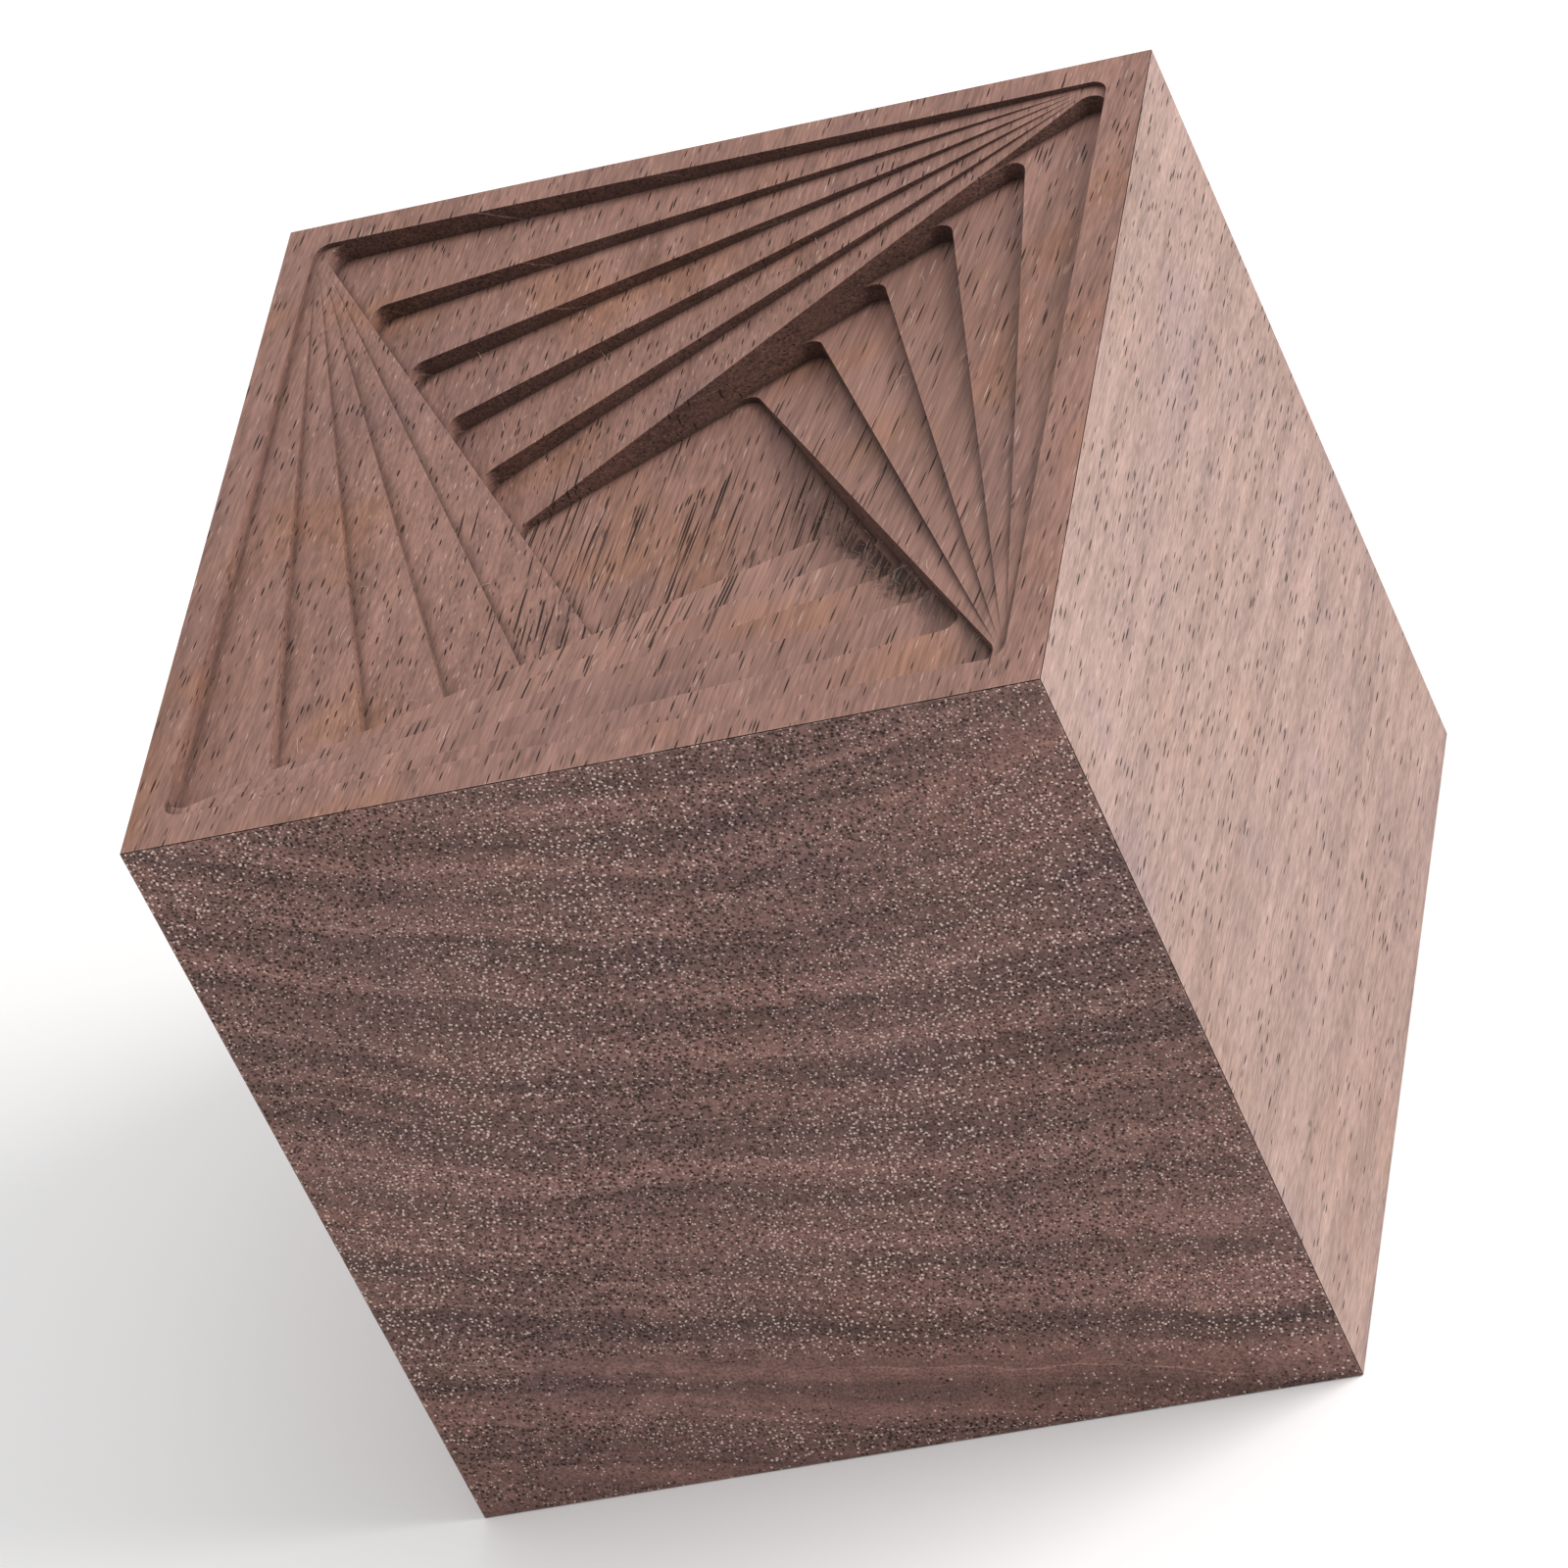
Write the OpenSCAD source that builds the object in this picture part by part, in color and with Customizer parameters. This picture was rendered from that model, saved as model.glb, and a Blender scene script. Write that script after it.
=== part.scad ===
// Six-block cube burr with a whirl carved in its top face.
// Six square pyramids, one per face, meet point to point at the middle of the cube.
// Twelve hidden dowels stand square to the twelve slanting seams, so no block can
// leave by itself: all six have to spread at the same moment.
// Origin: centre of the resting face. +Z up through the carved face, -Y end-grain face.

/* [Cube] */

// length of one edge of the closed cube
edge = 50; // [44:0.5:60]
// air left between two neighbouring blocks when the puzzle is shut
seam_gap = 0.05; // [0.03:0.01:0.1]

/* [Dowels] */

// thickness of a locking dowel
dowel_d = 3.2; // [2.4:0.1:3.6]
// how far a seam's dowel sits from the middle of the cube, as a share of the edge
dowel_place = 0.2; // [0.18:0.005:0.22]
// gap all round between a dowel and the bore it slides in
slide_clearance = 0.05; // [0.03:0.01:0.1]
// air left past the tip of a dowel when the puzzle is shut
tip_air = 0.5; // [0.3:0.1:0.8]
// bevel that leads each dowel end into its bore
dowel_bevel = 0.4; // [0.2:0.1:0.6]

/* [Carved whirl] */

// flat rim left round the carving, were it central
rim = 2.05; // [1.8:0.05:4]
// how far the carving sits to the right of centre (minus is to the left)
carving_right = -0.2; // [-0.4:0.05:0.4]
// how far the carving sits behind centre (minus is in front)
carving_back = 0.25; // [-0.4:0.05:0.4]
// turn of the innermost line of the whirl against the cube
whirl_angle = 31.8; // [28:0.1:36]
// number of steps in each arm
steps = 5; // [4:1:6]
// depth of the square pocket that the whole whirl is cut into
pocket_drop = 0.3; // [0.2:0.05:0.5]
// extra drop of every step at its deep end
step_drop = 1.15; // [0.7:0.05:1.3]
// drop from the deepest step down to the middle floor
middle_drop = 0.35; // [0.2:0.05:0.5]
// radius the carving cutter leaves in the inside corners
corner_r = 1; // [0.6:0.1:1.2]

/* [Hidden] */

half = edge / 2;
// shift of a slanting face that leaves half the seam gap on its own side
seam_shift = seam_gap / sqrt(2);

// carving
pocket = edge - 2 * rim;
arm_run = pocket * cos(whirl_angle);
// the outermost step stops short of the slanting seam behind the rim
seam_wood = 0.25;
thinnest_rim = rim - max(abs(carving_right), abs(carving_back));
step_fall = min(step_drop, thinnest_rim - pocket_drop - seam_wood);
deepest_step = pocket_drop + steps * step_fall;
carve_depth = deepest_step + middle_drop;
middle_side = pocket * (cos(whirl_angle) - sin(whirl_angle));
// each ramp leaves the pocket floor just clear of the next arm's rounded corner
ramp_start = corner_r / tan((90 - whirl_angle) / 2);
// every step is cut this many degrees past the whirl's inner line, into deeper ground
overcut_angle = 2;

// dowels and their bores
dowel_r = dowel_d / 2;
bore_r = dowel_r + slide_clearance;
seam_reach = dowel_place * edge;
floor_wood = 1.7;
deepest_bore = sqrt(2) * (half - carve_depth - floor_wood - seam_reach) - bore_r;
bore_depth = min(0.16 * edge, deepest_bore);
dowel_out = bore_depth - tip_air;

// outward direction of each block
UP = [0, 0, 1];
DOWN = [0, 0, -1];
FRONT = [0, -1, 0];
BACK = [0, 1, 0];
LEFT = [-1, 0, 0];
RIGHT = [1, 0, 0];

// the twelve seams: the block a dowel is glued in, then the block it slides in
SEAMS = [
    [UP, FRONT], [UP, BACK],
    [DOWN, FRONT], [DOWN, BACK],
    [FRONT, LEFT], [FRONT, RIGHT],
    [BACK, LEFT], [BACK, RIGHT],
    [LEFT, UP], [LEFT, DOWN],
    [RIGHT, UP], [RIGHT, DOWN]
];

walnut = [0.42, 0.29, 0.23];
walnut_end = [0.33, 0.23, 0.19];
birch = [0.85, 0.74, 0.56];

curve = 64;

// stands a child on the middle of the cube, its +Z pointing the given way
module point_out(way) {
    translate([0, 0, half])
        rotate([0, acos(way[2]), atan2(way[1], way[0])])
            children();
}

// stands a child on a seam, its +Z square to the seam and running into the owner
module on_seam(owner, other) {
    into = (owner - other) / sqrt(2);
    translate([0, 0, half] + seam_reach * (owner + other))
        rotate([0, acos(into[2]), atan2(into[1], into[0])])
            children();
}

// long roof-shaped bar, its sharp edge along Y through the middle of the cube
module roof_bar() {
    rotate([90, 0, 0])
        linear_extrude(height = edge, center = true)
            polygon([
                [0, seam_shift],
                [half - seam_shift, half],
                [seam_shift - half, half]
            ]);
}

// one sixth of the cube: two roof-shaped bars crossed
module pyramid() {
    intersection() {
        roof_bar();
        rotate([0, 0, 90])
            roof_bar();
    }
}

// pyramid with its two glue holes and its two sliding bores
module drilled_block(way) {
    difference() {
        point_out(way)
            pyramid();
        for (seam = SEAMS) {
            if (seam[0] == way)
                on_seam(seam[0], seam[1])
                    translate([0, 0, -1])
                        cylinder(r = dowel_r, h = bore_depth + 1, $fn = curve);
            if (seam[1] == way)
                on_seam(seam[0], seam[1])
                    translate([0, 0, -bore_depth])
                        cylinder(r = bore_r, h = bore_depth + 1, $fn = curve);
        }
    }
}

// dowel glued full depth in its owner, the rest standing out into the neighbour
module locking_dowel(owner, other) {
    on_seam(owner, other) {
        translate([0, 0, dowel_bevel - dowel_out])
            cylinder(r = dowel_r, h = dowel_out + bore_depth - 2 * dowel_bevel, $fn = curve);
        translate([0, 0, -dowel_out])
            cylinder(r1 = dowel_r - dowel_bevel, r2 = dowel_r, h = dowel_bevel, $fn = curve);
        translate([0, 0, bore_depth - dowel_bevel])
            cylinder(r1 = dowel_r, r2 = dowel_r - dowel_bevel, h = dowel_bevel, $fn = curve);
    }
}

// outline swept by step n of an arm, seen from above, the arm's point at the origin
// and the arm running to -X; its outer line is turned (n - 1) shares of the whirl
module step_outline(n) {
    turned = whirl_angle * (n - 1) / steps;
    // length of the outer line and the corner where it meets the next arm
    run = arm_run / cos(whirl_angle - turned);
    corner = [-run * cos(turned), -run * sin(turned)];
    inner_turn = whirl_angle + overcut_angle;
    inner_run = arm_run / cos(overcut_angle);
    inner_end = [-inner_run * cos(inner_turn), -inner_run * sin(inner_turn)];
    // rounded corner: the circle touches the outer line and the next arm's line
    opening = 90 - whirl_angle + turned;
    touch = corner_r / tan(opening / 2);
    to_point = [cos(turned), sin(turned)];
    to_middle = [sin(whirl_angle), -cos(whirl_angle)];
    round_centre = corner + touch * to_point + corner_r * [sin(turned), -cos(turned)];
    polygon([
        [0, 0],
        corner + touch * to_point,
        round_centre,
        corner + touch * to_middle,
        inner_end
    ]);
    translate(round_centre)
        circle(r = corner_r, $fn = curve);
}

// one step: its outline, floored by a ramp that falls towards the next arm
module step_cut(n) {
    slope = atan(n * step_fall / (arm_run - ramp_start));
    intersection() {
        translate([0, 0, -deepest_step - 1])
            linear_extrude(height = deepest_step + 2)
                step_outline(n);
        rotate([0, 0, whirl_angle])
            translate([-ramp_start, 0, -pocket_drop])
                rotate([0, -slope, 0])
                    translate([-2 * edge, -edge, 0])
                        cube([2 * edge, 2 * edge, edge]);
    }
}

// flat-floored square recess with the corners a round cutter leaves
module square_cut(side, depth) {
    flat = side - 2 * corner_r;
    translate([0, 0, -depth])
        linear_extrude(height = depth + 1) {
            square([side, flat], center = true);
            square([flat, side], center = true);
            for (sx = [-1, 1], sy = [-1, 1])
                translate([sx * flat / 2, sy * flat / 2])
                    circle(r = corner_r, $fn = curve);
        }
}

// the cuts of the carving in the order they are made: the shallow square pocket,
// the turned middle floor, then step by step each of the four arms
module carving_cut(i) {
    arm = floor((i - 2) / steps);
    n = (i - 2) % steps + 1;
    translate([carving_right, carving_back, edge])
        if (i == 0)
            square_cut(pocket, pocket_drop);
        else if (i == 1)
            rotate([0, 0, whirl_angle])
                square_cut(middle_side, carve_depth);
        else
            rotate([0, 0, -90 * arm])
                translate([pocket / 2, pocket / 2, 0])
                    step_cut(n);
}

// the top pyramid once the first so many cuts are made
module carved_block(cuts) {
    if (cuts == 0)
        drilled_block(UP);
    else
        difference() {
            carved_block(cuts - 1);
            carving_cut(cuts - 1);
        }
}

module top_block() {
    color(walnut)
        carved_block(2 + 4 * steps);
}

module bottom_block() {
    color(walnut)
        drilled_block(DOWN);
}

module front_block() {
    color(walnut_end)
        drilled_block(FRONT);
}

module back_block() {
    color(walnut_end)
        drilled_block(BACK);
}

module left_block() {
    color(walnut)
        drilled_block(LEFT);
}

module right_block() {
    color(walnut)
        drilled_block(RIGHT);
}

module dowel_top_front() {
    color(birch)
        locking_dowel(UP, FRONT);
}

module dowel_top_back() {
    color(birch)
        locking_dowel(UP, BACK);
}

module dowel_bottom_front() {
    color(birch)
        locking_dowel(DOWN, FRONT);
}

module dowel_bottom_back() {
    color(birch)
        locking_dowel(DOWN, BACK);
}

module dowel_front_left() {
    color(birch)
        locking_dowel(FRONT, LEFT);
}

module dowel_front_right() {
    color(birch)
        locking_dowel(FRONT, RIGHT);
}

module dowel_back_left() {
    color(birch)
        locking_dowel(BACK, LEFT);
}

module dowel_back_right() {
    color(birch)
        locking_dowel(BACK, RIGHT);
}

module dowel_left_top() {
    color(birch)
        locking_dowel(LEFT, UP);
}

module dowel_left_bottom() {
    color(birch)
        locking_dowel(LEFT, DOWN);
}

module dowel_right_top() {
    color(birch)
        locking_dowel(RIGHT, UP);
}

module dowel_right_bottom() {
    color(birch)
        locking_dowel(RIGHT, DOWN);
}

top_block();
bottom_block();
front_block();
back_block();
left_block();
right_block();
dowel_top_front();
dowel_top_back();
dowel_bottom_front();
dowel_bottom_back();
dowel_front_left();
dowel_front_right();
dowel_back_left();
dowel_back_right();
dowel_left_top();
dowel_left_bottom();
dowel_right_top();
dowel_right_bottom();
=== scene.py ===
# %% [markdown]
# # A walnut cube burr with a carved whirl
# The real object is a 50 mm cube of unfinished walnut. It is sawn into six
# pyramids, held by twelve hidden birch dowels, and a whirl of stepped ramps is
# carved in the top. The shapes come from the CAD frame and stay as they are, so
# this lesson is about light and wood: how one block of timber, patterned in three
# dimensions, can show end grain on one face and long grain on the next.

# %% Load the fixed frame
import math
import random
import bpy
from mathutils import Matrix, Vector


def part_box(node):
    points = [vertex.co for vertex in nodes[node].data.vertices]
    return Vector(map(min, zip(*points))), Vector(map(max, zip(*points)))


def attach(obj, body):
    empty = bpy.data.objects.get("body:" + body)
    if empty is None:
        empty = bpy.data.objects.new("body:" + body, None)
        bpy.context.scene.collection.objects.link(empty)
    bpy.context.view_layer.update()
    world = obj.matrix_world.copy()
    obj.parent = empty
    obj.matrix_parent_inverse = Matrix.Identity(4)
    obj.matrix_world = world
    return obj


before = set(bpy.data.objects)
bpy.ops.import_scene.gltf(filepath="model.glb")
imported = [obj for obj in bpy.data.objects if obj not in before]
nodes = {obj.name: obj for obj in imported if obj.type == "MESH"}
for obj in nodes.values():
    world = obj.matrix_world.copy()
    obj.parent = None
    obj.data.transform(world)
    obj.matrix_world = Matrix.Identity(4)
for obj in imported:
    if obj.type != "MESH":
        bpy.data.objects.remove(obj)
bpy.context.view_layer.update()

# %% [markdown]
# Distances round the cube are counted in cube edges, because the edge is the one
# size that the maker chooses first. Details of the wood are counted in
# millimetres, since pores are the same size in any cube. The middle of the cube
# is where the six pyramids meet.

# %% Sizes taken from the frame
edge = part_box("top_block")[1][2]
middle = Vector((0.0, 0.0, edge / 2))
mm = 0.001
print("edge of the cube: %.2f mm" % (edge / mm))


# %% [markdown]
# A cube looks calm when its parallel edges stay nearly parallel in view, which
# takes a long lens from far off. This camera stands about ten edges away, to the
# right of the end-grain face and well above it, and leans to one side, so that
# the cube seems to balance on its near corner.

# %% Camera
def way_out(azimuth, elevation):
    """The direction from the cube towards a place given by two angles in degrees."""
    a, e = math.radians(azimuth), math.radians(elevation)
    return Vector((math.sin(a) * math.cos(e), -math.cos(a) * math.cos(e), math.sin(e)))


def stand(name, data, place, aim, lean=0.0):
    """Puts a camera or lamp at a place, facing aim, turned about its own line of sight by lean."""
    thing = bpy.data.objects.new(name, data)
    bpy.context.scene.collection.objects.link(thing)
    turn = (aim - place).to_track_quat("-Z", "Y").to_matrix().to_4x4()
    thing.matrix_world = Matrix.Translation(place) @ turn @ Matrix.Rotation(math.radians(lean), 4, "Z")
    return thing


long_lens = bpy.data.cameras.new("long_lens")
long_lens.sensor_width = 36.0
long_lens.lens = 223.4
long_lens.clip_start, long_lens.clip_end = 0.01, 10.0
camera_place = middle + way_out(24.59, 36.91) * (10.369 * edge)
camera_aim = middle + Vector((-0.0293, 0.0005, 0.0170)) * edge
camera = stand("long_lens", long_lens, camera_place, camera_aim, lean=-26.12)
bpy.context.scene.camera = camera
print("camera stands %.0f mm away" % ((camera.location - middle).length / mm))


# %% [markdown]
# The cube rests on a plain pale floor that runs out of sight. A floor nearly as
# bright as paper lets the light bounce back under the cube and keeps the shadow
# soft. It lies a hair below the cube, so the two surfaces never fight for the
# same place.

# %% Floor
def plain(name, colour, roughness):
    """A bare material for things that are not part of the object."""
    m = bpy.data.materials.new(name)
    m.use_nodes = True
    p = m.node_tree.nodes["Principled BSDF"]
    p.inputs["Base Color"].default_value = (*colour, 1.0)
    p.inputs["Roughness"].default_value = roughness
    return m


half_floor = 60 * edge
hair_below = -0.02 * mm
floor_corners = [(x * half_floor, y * half_floor, hair_below) for x, y in ((-1, -1), (1, -1), (1, 1), (-1, 1))]
floor_mesh = bpy.data.meshes.new("floor")
floor_mesh.from_pydata(floor_corners, [], [(0, 1, 2, 3)])
floor = bpy.data.objects.new("floor", floor_mesh)
bpy.context.scene.collection.objects.link(floor)
floor.data.materials.append(plain("pale_paper", (0.94, 0.94, 0.94), 0.9))
print("floor reaches %.1f m each way" % half_floor)


# %% [markdown]
# The light is one broad soft box low on the right, a weaker one overhead, and an
# even glow from all round. The right face gets most of it, the top less and the
# end grain at the front the least, so the three faces part clearly and the walls
# of the carving that face the front sink into brown shadow.

# %% Lights
def soft_box(name, direction, distance, size, watts, colour):
    """A flat glowing panel aimed at the middle of the cube."""
    data = bpy.data.lights.new(name, "AREA")
    data.shape = "RECTANGLE"
    data.size, data.size_y = size
    data.energy = watts
    data.color = colour
    return stand(name, data, middle + direction * distance, middle)


soft_box("right_soft_box", way_out(98, 36), 0.60, (0.40, 0.32), 3.4, (1.0, 0.975, 0.955))
soft_box("overhead_soft_box", way_out(160, 70), 0.70, (0.60, 0.60), 1.2, (1.0, 1.0, 1.0))

world = bpy.data.worlds.new("even_glow")
bpy.context.scene.world = world
world.use_nodes = True
glow = world.node_tree.nodes["Background"].inputs
glow["Color"].default_value = (1.0, 1.0, 1.0, 1.0)
glow["Strength"].default_value = 0.66
bpy.context.scene.view_settings.view_transform = "Standard"
print("lamps:", [lamp.name for lamp in bpy.data.lights])


# %% [markdown]
# ## Wood as a solid
# Real wood is a bundle of long tubes laid down in rings. If the pattern is worked
# out in the log's own three dimensions, every face cuts it the way a saw would:
# across the tubes it shows dots, along them it shows dashes, and the pattern runs
# unbroken round every corner and down every step of the carving. Each effect below
# is a node group with named inputs, built once and placed in every wood.
#
# The first helpers only save typing: they add a node, set its values and join its
# inputs, and give the commonest sums and patterns short names.

# %% Helpers for node trees
def fill(tree, socket, value):
    """Joins a socket to another one, or sets it to a plain value."""
    if isinstance(value, bpy.types.NodeSocket):
        tree.links.new(value, socket)
    else:
        socket.default_value = value


def add(tree, kind, settings=None, **inputs):
    """Adds a shader node, sets its properties, and fills its inputs by name, or by number as i0, i1, i2."""
    node = tree.nodes.new("ShaderNode" + kind)
    for key, value in (settings or {}).items():
        setattr(node, key, value)
    for key, value in inputs.items():
        numbered = key[0] == "i" and key[1:].isdigit()
        fill(tree, node.inputs[int(key[1:]) if numbered else key.replace("_", " ")], value)
    return node


def sums(tree, operation, *numbers):
    """One step of arithmetic; gives the output socket."""
    inputs = {"i%d" % i: number for i, number in enumerate(numbers)}
    return add(tree, "Math", {"operation": operation}, **inputs).outputs[0]


def times(tree, a, b):
    """Two numbers or masks multiplied together."""
    return sums(tree, "MULTIPLY", a, b)


def rest_of(tree, mask):
    """What a mask leaves over: one less the mask."""
    return sums(tree, "SUBTRACT", 1.0, mask)


def vector_step(tree, operation, *vectors):
    """One step of vector arithmetic; gives the resulting vector."""
    inputs = {"i%d" % i: vector for i, vector in enumerate(vectors)}
    return add(tree, "VectorMath", {"operation": operation}, **inputs).outputs["Vector"]


def dot(tree, a, b):
    """How far one vector runs along another."""
    return add(tree, "VectorMath", {"operation": "DOT_PRODUCT"}, i0=a, i1=b).outputs["Value"]


def fade(tree, value, low, high):
    """0 below low, 1 above high, and a smooth rise between them."""
    return add(tree, "MapRange", {"interpolation_type": "SMOOTHSTEP"},
               Value=value, From_Min=low, From_Max=high).outputs["Result"]


def cloud(tree, where, scale, detail, roughness=0.5):
    """Soft noise between 0 and 1."""
    return add(tree, "TexNoise", Vector=where, Scale=scale, Detail=detail, Roughness=roughness).outputs["Fac"]


# %% [markdown]
# A node group starts as an empty tree with named sockets. This helper makes one
# and hands back the values that come in and the sockets that wait to be filled.

# %% Helper for node groups
def new_group(name, inputs, outputs):
    """An empty node group; gives its tree, its incoming values and its waiting outputs."""
    tree = bpy.data.node_groups.new(name, "ShaderNodeTree")
    for label, value in inputs:
        socket = tree.interface.new_socket(label, in_out="INPUT", socket_type="NodeSocketFloat")
        socket.default_value = value
    for label in outputs:
        tree.interface.new_socket(label, in_out="OUTPUT", socket_type="NodeSocketFloat")
    return tree, tree.nodes.new("NodeGroupInput").outputs, tree.nodes.new("NodeGroupOutput").inputs


# %% [markdown]
# The tubes of this block do not run quite square to the end face: towards the
# back they drift a little right and a little down. All patterns are worked out in
# coordinates turned to that line, counted in millimetres, with Y along the tubes.

# %% Coordinates of the log
drift_right, drift_down = math.radians(6.5), math.radians(5.0)
to_mm = (1 / mm, 1 / mm, 1 / mm)


def log_place(tree):
    """Where a point lies in the log, in millimetres, Y along the grain."""
    spot = add(tree, "TexCoord").outputs["Object"]
    turned = add(tree, "Mapping", {"vector_type": "POINT"}, Vector=spot,
                 Rotation=(drift_down, 0.0, drift_right), Scale=to_mm)
    return turned.outputs["Vector"]


print("the grain drifts %.1f degrees right" % math.degrees(drift_right))

# %% [markdown]
# **Growth bands.** Each year adds a pale layer with wide pores and a dark dense
# one. In this block the layers fall from the left and level out near the right
# face, more so the higher they lie. The band's phase is the height in the log less
# that curve, plus a slow wander, and the sharp end of a year shows in places as a
# thin pale line. The group also gives a slower patchiness, drawn out along the
# layers, and a measure of how thickly the pores stand.

# %% Growth bands
tree, asked, gives = new_group("growth bands", [("Year mm", 4.6), ("Wander mm", 0.9)],
                               ["Band", "Year line", "Patch", "Crowd"])
place = log_place(tree)
axes = add(tree, "SeparateXYZ", Vector=place).outputs
stretched = vector_step(tree, "MULTIPLY", place, (1.0, 0.12, 1.0))
slow = cloud(tree, stretched, 0.07, 2.0)
fine = cloud(tree, stretched, 0.4, 3.0, 0.55)

bow = times(tree, axes["X"], times(tree, axes["Z"], 0.0002))
curve = times(tree, axes["X"], sums(tree, "SUBTRACT", bow, 0.20))
height = sums(tree, "SUBTRACT", axes["Z"], curve)
slow_mm = times(tree, sums(tree, "SUBTRACT", slow, 0.5), times(tree, asked["Wander mm"], 4.0))
fine_mm = times(tree, sums(tree, "SUBTRACT", fine, 0.5), times(tree, asked["Wander mm"], 0.7))
bent_height = sums(tree, "ADD", sums(tree, "ADD", height, slow_mm), fine_mm)

phase = sums(tree, "FRACT", sums(tree, "DIVIDE", bent_height, asked["Year mm"]))
band = times(tree, fade(tree, phase, 0.05, 0.7), rest_of(tree, fade(tree, phase, 0.75, 1.0)))
fill(tree, gives["Band"], band)
line = times(tree, fade(tree, phase, 0.0, 0.010), rest_of(tree, fade(tree, phase, 0.015, 0.034)))
line_shows = fade(tree, cloud(tree, stretched, 0.09, 1.0), 0.42, 0.62)
fill(tree, gives["Year line"], times(tree, line, line_shows))

layered = add(tree, "CombineXYZ", X=times(tree, axes["X"], 0.035), Y=times(tree, axes["Y"], 0.02),
              Z=times(tree, bent_height, 0.68)).outputs["Vector"]
fill(tree, gives["Patch"], cloud(tree, layered, 1.0, 5.0, 0.62))
crowd = cloud(tree, layered, 0.45, 2.0)
leftward = sums(tree, "MULTIPLY_ADD", axes["X"], -0.006, 0.42)
rising = times(tree, fade(tree, axes["Z"], 0.0, 24.0), leftward)
fill(tree, gives["Crowd"], sums(tree, "ADD", times(tree, crowd, 1.1), sums(tree, "SUBTRACT", rising, 0.12)))
print("growth bands: %d nodes" % len(tree.nodes))


# %% [markdown]
# ** Pores.** A walnut pore is a tube about a sixth of a millimetre wide. Scattered
# points in a space squeezed along the grain do the job: near each point lies one
# stretch of tube, round when cut across and a dash when cut along. Tubes made
# several times taller than wide stand in for pores that the cutter has ripped open
# into long slots. A second scatter gives the bright specks between the pores, in
# part pale dust that sanding has packed in a tube and in part painted glints of
# raised fibre.

# %% Scattered tubes
def tubes(tree, place, spacing, length, width, tall, shift):
    """Mask of scattered stretches of tube, with the number each one was dealt."""
    moved = vector_step(tree, "ADD", place, shift)
    per_mm = sums(tree, "DIVIDE", 1.0, spacing)
    squeeze = add(tree, "CombineXYZ", X=per_mm, Y=sums(tree, "DIVIDE", 1.0, length),
                  Z=sums(tree, "DIVIDE", per_mm, tall)).outputs["Vector"]
    cells = vector_step(tree, "MULTIPLY", moved, squeeze)
    spots = add(tree, "TexVoronoi", {"feature": "F1"}, Vector=cells, Scale=1.0, Randomness=1.0)
    dealt = add(tree, "SeparateColor", Color=spots.outputs["Color"]).outputs
    own_size = sums(tree, "MULTIPLY_ADD", dealt["Green"], 0.7, 0.6)
    own_width = times(tree, sums(tree, "DIVIDE", width, spacing), own_size)
    near = sums(tree, "DIVIDE", spots.outputs["Distance"], own_width)
    return rest_of(tree, fade(tree, near, 0.5, 1.1)), dealt["Red"]


# %% [markdown]
# The group bends the tubes a little with slow noise, so that they don't stand like
# ruled lines, and keeps only the share of them that it is asked for.

# %% Pores
tree, asked, gives = new_group("pores", [("Spacing mm", 0.40), ("Length mm", 3.0), ("Width mm", 0.10),
                                         ("Share", 0.8), ("Tall", 1.0)], ["Pore", "Speck"])
place = log_place(tree)
lengthwise = vector_step(tree, "MULTIPLY", place, (1.0, 0.1, 1.0))
wobble = add(tree, "TexNoise", Vector=lengthwise, Scale=0.8, Detail=1.0).outputs["Color"]
bent = vector_step(tree, "MULTIPLY_ADD", wobble, (0.3, 0.0, 0.3), place)

hole, hole_number = tubes(tree, bent, asked["Spacing mm"], asked["Length mm"], asked["Width mm"],
                          asked["Tall"], (0.0, 0.0, 0.0))
speck, speck_number = tubes(tree, bent, asked["Spacing mm"], asked["Length mm"],
                            times(tree, asked["Width mm"], 0.74), asked["Tall"], (5.2, 1.1, -3.1))
hole = times(tree, hole, sums(tree, "LESS_THAN", hole_number, asked["Share"]))
speck = times(tree, speck, sums(tree, "LESS_THAN", speck_number, asked["Share"]))
fill(tree, gives["Pore"], hole)
fill(tree, gives["Speck"], times(tree, speck, rest_of(tree, hole)))
print("pores: %d nodes" % len(tree.nodes))

# %% [markdown]
# **Fibre.** Between the pores the wood is fine thread. Noise drawn out along the
# grain gives it, and it drives colour, roughness and a very shallow relief.

# %% Fibre
tree, asked, gives = new_group("fibre", [("Thread mm", 0.16), ("Run mm", 5.0)], ["Thread", "Broad"])
per_mm = sums(tree, "DIVIDE", 1.0, asked["Thread mm"])
squeeze = add(tree, "CombineXYZ", X=per_mm, Y=sums(tree, "DIVIDE", 1.0, asked["Run mm"]), Z=per_mm)
threads = vector_step(tree, "MULTIPLY", log_place(tree), squeeze.outputs["Vector"])
fill(tree, gives["Thread"], cloud(tree, threads, 1.0, 2.0, 0.6))
fill(tree, gives["Broad"], cloud(tree, threads, 0.14, 2.0))
print("fibre: %d nodes" % len(tree.nodes))

# %% [markdown]
# **End grain.** A surface cut across the tubes drinks in light and looks much
# darker. How far a surface faces along the grain says how much of that to show,
# so the walls of the carving darken by themselves where they cut across.

# %% End grain mask
tree, asked, gives = new_group("end grain", [("From", 0.35), ("To", 0.9)], ["Across"])
grain_line = Vector((math.sin(drift_right), 1.0, -math.sin(drift_down))).normalized()
facing = sums(tree, "ABSOLUTE", dot(tree, add(tree, "TexCoord").outputs["Normal"], tuple(grain_line)))
fill(tree, gives["Across"], fade(tree, facing, asked["From"], asked["To"]))
print("grain runs along", tuple(round(part, 3) for part in grain_line))
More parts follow.
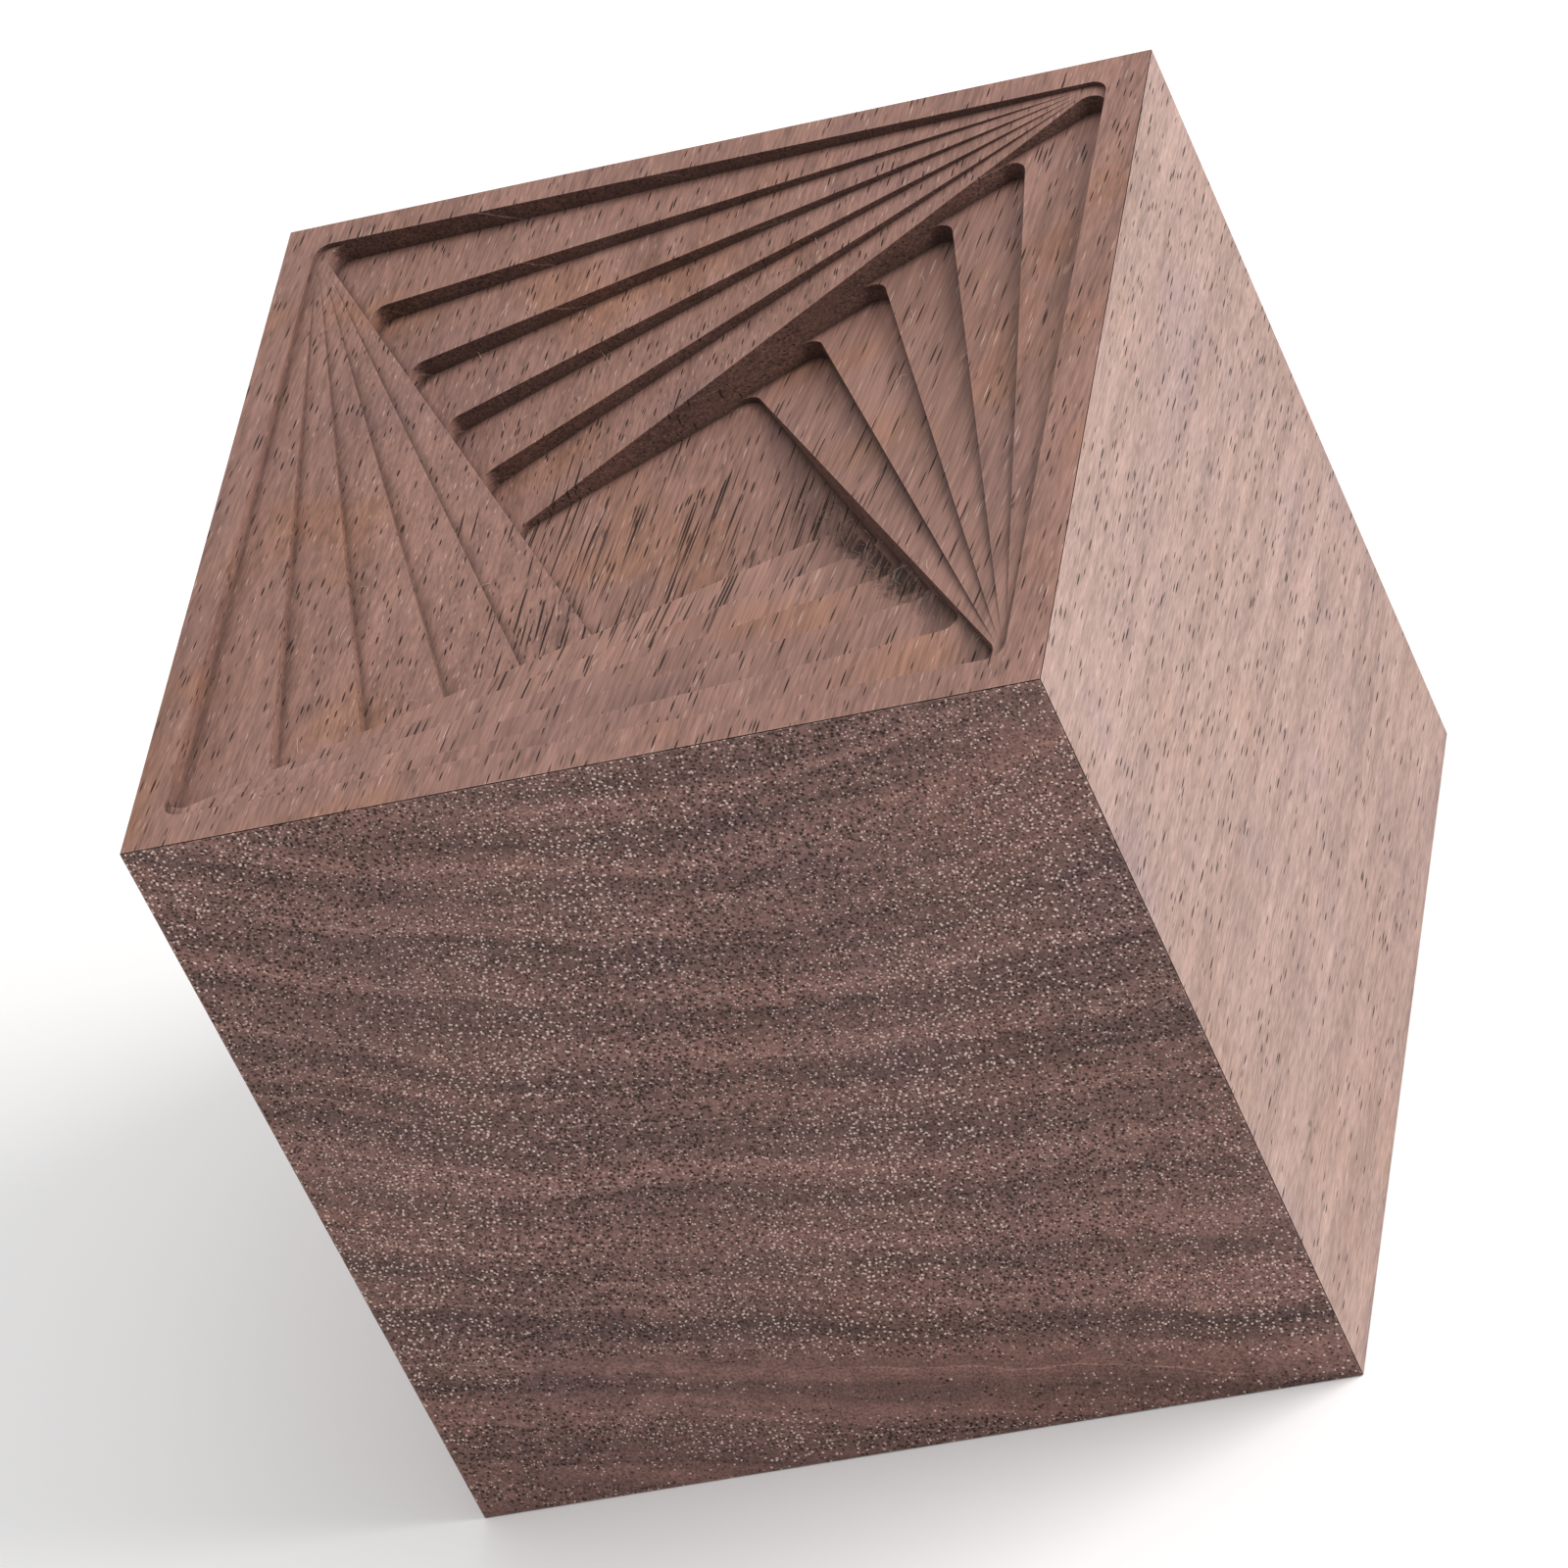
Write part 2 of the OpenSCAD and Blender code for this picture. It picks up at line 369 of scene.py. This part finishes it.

# %% [markdown]
# ** Pale edges.** Fingers polish the sharp corners first, and crushed fibre there
# is paler; the same pale line also paints the highlight that a sharp edge catches.
# Comparing the true surface direction with one rounded over a small distance finds
# every edge, and slow noise rubs some stretches more than others.

# %% Edge highlight and wear mask
tree, asked, gives = new_group("edge highlight and wear", [("Strength", 1.0)], ["Edge"])
rounding = 0.18 * mm
rounded = add(tree, "Bevel", {"samples": 4}, Radius=rounding).outputs["Normal"]
true_normal = add(tree, "NewGeometry").outputs["Normal"]
edge_mask = fade(tree, rest_of(tree, dot(tree, rounded, true_normal)), 0.03, 0.28)
edge_patchiness = fade(tree, cloud(tree, log_place(tree), 1.4, 3.0), 0.35, 0.65)
fill(tree, gives["Edge"], times(tree, times(tree, edge_mask, edge_patchiness), asked["Strength"]))
print("edges wear over %.2f mm" % (rounding / mm))

# %% [markdown]
# ** Corner shade and dust.** The inside corners do the opposite: this mask paints
# shade into them, with the fine dark dust and the scorch of the cutter that stay
# there. A look at how much sky each spot can see, no further off than a short
# reach, tells the inside corners from the outside ones.

# %% Corner shade and dust mask
tree, asked, gives = new_group("corner shade and dust", [("Reach m", 0.6 * mm), ("Strength", 1.0)], ["Dust"])
sky = add(tree, "AmbientOcclusion", {"samples": 4}, Distance=asked["Reach m"]).outputs["AO"]
uneven = cloud(tree, log_place(tree), 0.9, 3.0, 0.6)
hidden = times(tree, rest_of(tree, fade(tree, sky, 0.45, 0.98)), sums(tree, "MULTIPLY_ADD", uneven, 0.8, 0.5))
fill(tree, gives["Dust"], sums(tree, "MINIMUM", times(tree, hidden, asked["Strength"]), 1.0))
print("corner shade and dust: %d nodes" % len(tree.nodes))

# %% [markdown]
# ** Wall shadow and tear-out.** Beside the steep wall on the inside of the
# right-hand arm, this mask paints a dark shadow into the colour; there too the
# cutter came down against the grain and pulled whole threads out instead of
# slicing them. The mask follows that wall from the middle towards the near right
# corner, fades away from it, and breaks up into threads. The two ends of the wall
# are given in millimetres from the middle of the face, as seen from above.

# %% Wall shadow and tear-out mask
wall_top, wall_foot = Vector((4.6, 4.0)), Vector((22.0, -21.7))
wall_length = (wall_foot - wall_top).length
along = (wall_foot - wall_top).normalized()

tree, asked, gives = new_group("shadow and tear-out", [("Strength", 1.0)], ["Torn"])
spot = vector_step(tree, "MULTIPLY", add(tree, "TexCoord").outputs["Object"], to_mm)
from_top = vector_step(tree, "SUBTRACT", spot, (wall_top.x, wall_top.y, 0.0))
run = dot(tree, from_top, (along.x, along.y, 0.0))
side = dot(tree, from_top, (along.y, -along.x, 0.0))
starts = fade(tree, run, 0.18 * wall_length, 0.36 * wall_length)
ends = fade(tree, run, 0.62 * wall_length, 0.84 * wall_length)
stretch = times(tree, starts, rest_of(tree, ends))

ragged = cloud(tree, log_place(tree), 0.9, 4.0, 0.7)
reach = sums(tree, "MULTIPLY_ADD", ragged, 5.0, -1.8)
within_reach = rest_of(tree, fade(tree, sums(tree, "SUBTRACT", side, reach), -0.7, 0.8))
beside = times(tree, sums(tree, "GREATER_THAN", side, -0.4), within_reach)
pulled = vector_step(tree, "MULTIPLY", log_place(tree), (5.0, 0.6, 5.0))
strands = fade(tree, cloud(tree, pulled, 1.0, 3.0, 0.7), 0.36, 0.56)
fill(tree, gives["Torn"], times(tree, times(tree, stretch, beside), times(tree, strands, asked["Strength"])))
print("torn wall is %.1f mm long" % wall_length)

# %% [markdown]
# **Open grain.** In the middle of the whirl the cutter has laid many long pores
# wide open. This mask picks the spot, and streaks across it gather them in bunches.

# %% Open grain mask
tree, asked, gives = new_group("open grain", [("Size mm", 11.0)], ["Zone"])
flat_spot = vector_step(tree, "MULTIPLY", add(tree, "TexCoord").outputs["Object"], (1 / mm, 1 / mm, 0.0))
opened_middle = (-1.0, -3.0, 0.0)
away = add(tree, "VectorMath", {"operation": "DISTANCE"}, i0=flat_spot, i1=opened_middle).outputs["Value"]
near_middle = rest_of(tree, fade(tree, sums(tree, "DIVIDE", away, asked["Size mm"]), 0.45, 1.3))
bunches = vector_step(tree, "MULTIPLY", log_place(tree), (0.55, 0.05, 0.55))
bunched = fade(tree, cloud(tree, bunches, 1.0, 2.0), 0.40, 0.58)
fill(tree, gives["Zone"], times(tree, near_middle, sums(tree, "MULTIPLY_ADD", bunched, 0.95, 0.1)))
print("node groups:", [group.name for group in bpy.data.node_groups])


# %% [markdown]
# ## The woods
# Two more helpers place a group in a material and lay one colour over another, as
# a painter lays a glaze.

# %% Helpers for materials
def use(tree, group, **inputs):
    """Places a node group with its own values and gives its outputs."""
    node = tree.nodes.new("ShaderNodeGroup")
    node.node_tree = bpy.data.node_groups[group]
    for key, value in inputs.items():
        fill(tree, node.inputs[key.replace("_", " ")], value)
    return node.outputs


def glaze(tree, amount, under, over, mode="MIX"):
    """One colour laid over another; amount may be a number or a mask."""
    node = add(tree, "Mix", {"data_type": "RGBA", "blend_type": mode}, i0=amount)
    for socket, colour in ((node.inputs[6], under), (node.inputs[7], over)):
        fill(tree, socket, (*colour, 1.0) if isinstance(colour, tuple) else colour)
    return node.outputs[2]


def bare_material(name):
    """A new material; gives it with its tree and the inputs of its shader."""
    m = bpy.data.materials.new(name)
    m.use_nodes = True
    return m, m.node_tree, m.node_tree.nodes["Principled BSDF"].inputs


# %% [markdown]
# One recipe makes all the walnut. The growth bands choose between two browns, the
# end-grain mask shifts both towards a darker, greyer brown, then come slow drifts
# of hue towards ochre and towards mauve, fibre, pores, bright specks with painted
# glints, the pale edges with their painted highlight, the painted shade in the
# inside corners and the painted shadow beside the torn wall. Colours are given as
# the light they send back, so they look darker as numbers than they do on the wood.

# %% Walnut, the colour before the pores
def bare_walnut(t, long_pair, end_pair, years, fibre, across, contrast, torn):
    """Browns, growth bands, hue drift and fibre; each pair of browns is pale, dark."""
    patch = sums(t, "SUBTRACT", years["Patch"], 0.5)
    tone = sums(t, "MULTIPLY_ADD", patch, contrast[0], sums(t, "MULTIPLY_ADD", years["Band"], contrast[1], 0.35))
    long_cut, end_cut = glaze(t, tone, *long_pair), glaze(t, tone, *end_pair)
    end_cut = glaze(t, times(t, years["Year line"], 0.45), end_cut, (0.36, 0.235, 0.20))
    wood = glaze(t, across, long_cut, end_cut)

    drift = cloud(t, log_place(t), 0.11, 2.0)
    ochre, mauve = (1.04, 0.93, 0.70), (0.86, 0.88, 0.98)
    to_ochre = times(t, fade(t, drift, 0.50, 0.68), 0.22 + 0.38 * torn)
    to_mauve = times(t, rest_of(t, fade(t, drift, 0.28, 0.46)), 0.5)
    wood = glaze(t, to_ochre, wood, ochre, "MULTIPLY")
    wood = glaze(t, to_mauve, wood, mauve, "MULTIPLY")

    fine_shade = times(t, sums(t, "SUBTRACT", fibre["Thread"], 0.5), sums(t, "MULTIPLY_ADD", across, 1.2, 1.4))
    shade = sums(t, "ADD", fine_shade, sums(t, "MULTIPLY_ADD", fibre["Broad"], 0.7, 0.65))
    grey = add(t, "CombineColor", Red=shade, Green=shade, Blue=shade).outputs["Color"]
    return glaze(t, 1.0, wood, grey, "MULTIPLY")


# %% [markdown]
# The pores, specks, pale edges with their painted highlight, the painted shade in
# the inside corners and the painted shadow beside the torn wall go over that
# colour. The same masks also roughen the pores and sink them a few hundredths of a
# millimetre, so that a low light catches them.

# %% Walnut, the whole recipe
def walnut(name, long_pair, end_pair, pores, share, relief_depth, edge_highlight_and_wear, corner_shade_and_dust, contrast, specks, torn):
    """Unfinished walnut.

    pores: spacing, length and width in millimetres; share: how many are kept;
    contrast: of the patches and of the bands; specks: strength on long grain and
    on end grain; torn: 1 for a carved surface, which also brings the painted shadow
    beside the torn wall, 0 for a sanded one.
    """
    m, t, skin = bare_material(name)
    years, fibre = use(t, "growth bands"), use(t, "fibre")
    across = use(t, "end grain")["Across"]
    wall_shadow_and_tear = use(t, "shadow and tear-out", Strength=torn)["Torn"]
    wood = bare_walnut(t, long_pair, end_pair, years, fibre, across, contrast, torn)

    kept = times(t, fade(t, years["Crowd"], 0.28, 0.72), share)
    pore = use(t, "pores", Spacing_mm=pores[0], Length_mm=pores[1], Width_mm=pores[2], Share=kept)
    opened = use(t, "pores", Spacing_mm=0.16, Length_mm=9.0, Width_mm=0.066, Tall=5.5,
                 Share=times(t, use(t, "open grain")["Zone"], torn))
    holes = sums(t, "MAXIMUM", pore["Pore"], opened["Pore"])
    hole_strength = sums(t, "MULTIPLY_ADD", across, -0.10, 0.92)
    speck_strength = sums(t, "MULTIPLY_ADD", across, specks[1] - specks[0], specks[0])
    pale, dark = long_pair
    wood = glaze(t, times(t, holes, hole_strength), wood, tuple(part * 0.06 for part in dark))
    # bright specks: pale dust in the pores, and in part painted glints of raised fibre
    wood = glaze(t, times(t, pore["Speck"], speck_strength), wood, (0.92, 0.72, 0.64))

    # pale edges: a painted highlight along every sharp edge, with paler crushed fibre
    edge_highlight_and_wear_mask = times(t, use(t, "edge highlight and wear", Strength=edge_highlight_and_wear)["Edge"], 0.4)
    wood = glaze(t, edge_highlight_and_wear_mask, wood, tuple(min(1.0, part * 1.5) for part in pale))
    # painted shade in the inside corners, with the dark of dust and cutter scorch
    wood = glaze(t, use(t, "corner shade and dust", Strength=corner_shade_and_dust)["Dust"], wood, (0.040, 0.021, 0.016))
    # painted shadow beside the torn wall, with the dark of the torn threads
    wood = glaze(t, times(t, wall_shadow_and_tear, 0.9), wood, (0.030, 0.016, 0.012))
    fill(t, skin["Base Color"], wood)

    roughness = sums(t, "MULTIPLY_ADD", fibre["Thread"], -0.16, sums(t, "MULTIPLY_ADD", holes, 0.3, 0.70))
    fill(t, skin["Roughness"], roughness)
    relief = sums(t, "MULTIPLY_ADD", holes, -1.0, times(t, fibre["Thread"], 0.5))
    relief = sums(t, "MULTIPLY_ADD", wall_shadow_and_tear, -3.0, relief)
    bump = add(t, "Bump", Strength=0.5, Distance=relief_depth, Height=relief)
    fill(t, skin["Normal"], bump.outputs["Normal"])
    skin["Specular IOR Level"].default_value = 0.3
    return m


# %% [markdown]
# The three walnuts differ in how the surface was left, and in painted light. Sanded
# sides are pale and keep sharp little dashes; their browns are painted paler still,
# for part of the strong light on the right face. Sanded end grain shows the most
# bands, pores and specks. The carving keeps open pores, torn fibre with a painted
# shadow beside the torn wall, and the warm brown of a fresh cut.

# %% The three walnuts
# The sides' browns are painted paler than the carving's, standing for part of the stronger light on the right
# face as well as the paler sanded surface.
side_browns_painted_paler = (0.335, 0.228, 0.196), (0.215, 0.135, 0.115)
end_browns = (0.235, 0.122, 0.104), (0.085, 0.047, 0.042)
carved_browns = (0.270, 0.148, 0.119), (0.164, 0.085, 0.067)
carved_end_browns = (0.10, 0.050, 0.040), (0.055, 0.027, 0.021)

sanded_side_painted_paler = walnut("walnut_sanded_side_painted_paler", side_browns_painted_paler, end_browns,
                     pores=(0.30, 3.2, 0.072), share=1.0, relief_depth=0.03 * mm, edge_highlight_and_wear=0.8, corner_shade_and_dust=0.3,
                     contrast=(1.3, 0.12), specks=(0.1, 0.6), torn=0.0)
sanded_end = walnut("walnut_sanded_end_grain", side_browns_painted_paler, end_browns,
                    pores=(0.235, 3.0, 0.098), share=1.6, relief_depth=0.005 * mm, edge_highlight_and_wear=0.8, corner_shade_and_dust=0.3,
                    contrast=(2.35, 0.32), specks=(0.1, 0.66), torn=0.0)
carved = walnut("walnut_carved", carved_browns, carved_end_browns,
                pores=(0.25, 4.5, 0.056), share=1.1, relief_depth=0.07 * mm, edge_highlight_and_wear=0.7, corner_shade_and_dust=0.78,
                contrast=(1.35, 0.12), specks=(0.21, 0.10), torn=1.0)
print("walnuts:", sanded_side_painted_paler.name, sanded_end.name, carved.name)


# %% [markdown]
# The dowels are birch: pale, close and nearly without pores. They show only when
# the puzzle is opened. Their tone comes from the same fibre group, run finer.

# %% Birch
def birch(name):
    """Plain turned dowel wood."""
    m, t, skin = bare_material(name)
    fibre = use(t, "fibre", Thread_mm=0.12, Run_mm=3.0)
    edge_highlight_and_wear_mask = use(t, "edge highlight and wear", Strength=0.6)["Edge"]
    flecks = times(t, fade(t, fibre["Thread"], 0.55, 0.75), 0.4)
    wood = glaze(t, fibre["Broad"], (0.72, 0.53, 0.33), (0.56, 0.38, 0.22))
    wood = glaze(t, flecks, wood, (0.42, 0.27, 0.15))
    # pale edges: a painted highlight along the dowel's edges, with paler worn fibre
    wood = glaze(t, times(t, edge_highlight_and_wear_mask, 0.5), wood, (0.80, 0.64, 0.44))
    fill(t, skin["Base Color"], wood)
    fill(t, skin["Roughness"], sums(t, "MULTIPLY_ADD", fibre["Thread"], 0.3, 0.4))
    bump = add(t, "Bump", Strength=0.4, Distance=0.03 * mm, Height=fibre["Thread"])
    fill(t, skin["Normal"], bump.outputs["Normal"])
    return m


dowel_birch = birch("birch_dowel")
print("dowel wood:", dowel_birch.name)


# %% [markdown]
# A single thread of walnut is nearly white, since it is thin enough for light to
# pass through it. Its material is the fibre group again, over a warm off-white.

# %% Pale fibre
def fibre_white(name):
    """The finish of one loose thread."""
    m, t, skin = bare_material(name)
    fibre = use(t, "fibre", Thread_mm=0.3, Run_mm=0.6)
    tint = glaze(t, fade(t, fibre["Thread"], 0.35, 0.65), (0.72, 0.58, 0.48), (0.40, 0.28, 0.22))
    fill(t, skin["Base Color"], tint)
    fill(t, skin["Roughness"], sums(t, "MULTIPLY_ADD", fibre["Broad"], 0.3, 0.4))
    bump = add(t, "Bump", Strength=0.2, Distance=0.005 * mm, Height=fibre["Thread"])
    fill(t, skin["Normal"], bump.outputs["Normal"])
    return m


pale_fibre = fibre_white("torn_fibre")
print("loose threads:", pale_fibre.name)


# %% [markdown]
# ## Dressing the pieces
# Every block keeps its CAD shape; only its material changes. The front and back
# faces are cut across the grain, so those blocks get the end-grain walnut.

# %% Give each piece its wood
def dress(node_name, material):
    """Puts the material in every slot of a CAD piece."""
    mesh = nodes[node_name].data
    if not mesh.materials:
        mesh.materials.append(material)
    for i in range(len(mesh.materials)):
        mesh.materials[i] = material


block_woods = {"top_block": carved, "front_block": sanded_end, "back_block": sanded_end}
for name in nodes:
    dress(name, dowel_birch if name.startswith("dowel_") else block_woods.get(name, sanded_side_painted_paler))
print("dressed", len(nodes), "pieces")


# %% [markdown]
# ## Fuzz
# A cutter never leaves bare walnut quite clean: single threads stand up along the
# torn wall and a few cling to the steps. Each is a bent tube thinner than a hair,
# three-sided because no eye could count more sides at that size.

# %% One thread as a tube
def thread_tube(verts, faces, path, radius):
    """Adds a three-sided tube along the path, closing to a point at its end."""
    start = len(verts)
    for i, point in enumerate(path[:-1]):
        ahead = (path[i + 1] - point).normalized()
        side = ahead.cross(Vector((0.3, 0.2, 0.9))).normalized()
        up = ahead.cross(side)
        for k in range(3):
            angle = 2 * math.pi * k / 3
            out = side * math.cos(angle) + up * math.sin(angle)
            verts.append(point + out * radius * (1 - 0.6 * i / len(path)))
    verts.append(path[-1])
    for i in range(len(path) - 2):
        for k in range(3):
            a, b = start + 3 * i + k, start + 3 * i + (k + 1) % 3
            faces.append((a, b, b + 3, a + 3))
    last = start + 3 * (len(path) - 2)
    for k in range(3):
        faces.append((last + k, last + (k + 1) % 3, len(verts) - 1))


# %% [markdown]
# A ray dropped on the carved block finds where a thread starts, so no thread
# floats or sinks, and a seeded dice roll plants the same threads every time.
# Threads that would start on the rim, or stand out above the cube, are left out.

# %% Threads of torn fibre
dice = random.Random(7)
tries, tries_along_wall = 110, 70
thread_radius = 0.012 * mm
steps_along_thread = (-0.04, 0.2, 0.4, 0.6, 0.8, 1.0)
top_mesh = nodes["top_block"]
to_local = top_mesh.matrix_world.inverted()
verts, faces, planted = [], [], 0
for n in range(tries):
    if n < tries_along_wall:
        spot = wall_top + (wall_foot - wall_top) * dice.uniform(0.12, 0.93)
        spot += Vector((along.y, -along.x)) * dice.uniform(-0.9, 0.7)
    else:
        spot = Vector((dice.uniform(-19, 19), dice.uniform(-19, 19)))
    high = Vector((spot.x * mm, spot.y * mm, edge * 1.02))
    found, hit = top_mesh.ray_cast(to_local @ high, Vector((0, 0, -1)))[:2]
    if not found:
        continue
    root = top_mesh.matrix_world @ hit
    if root.z > edge - 0.9 * mm:
        continue
    length = dice.uniform(0.35, 1.1) * mm
    heading = Vector((dice.gauss(0, 0.5), dice.gauss(0.4, 0.7), dice.uniform(0.25, 0.9))).normalized()
    curl = Vector((dice.gauss(0, 0.6), dice.gauss(0, 0.6), -0.5))
    path = [root + heading * (length * f) + curl * (length * f * f * 0.6) for f in steps_along_thread]
    if max(p.z for p in path) < edge - 0.1 * mm and min(p.z for p in path[1:]) > root.z:
        thread_tube(verts, faces, path, thread_radius)
        planted += 1

fuzz_mesh = bpy.data.meshes.new("torn_fibres")
fuzz_mesh.from_pydata([tuple(v) for v in verts], [], faces)
fuzz = bpy.data.objects.new("torn_fibres", fuzz_mesh)
bpy.context.scene.collection.objects.link(fuzz)
fuzz.data.materials.append(pale_fibre)
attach(fuzz, "top")
print("threads planted:", planted)
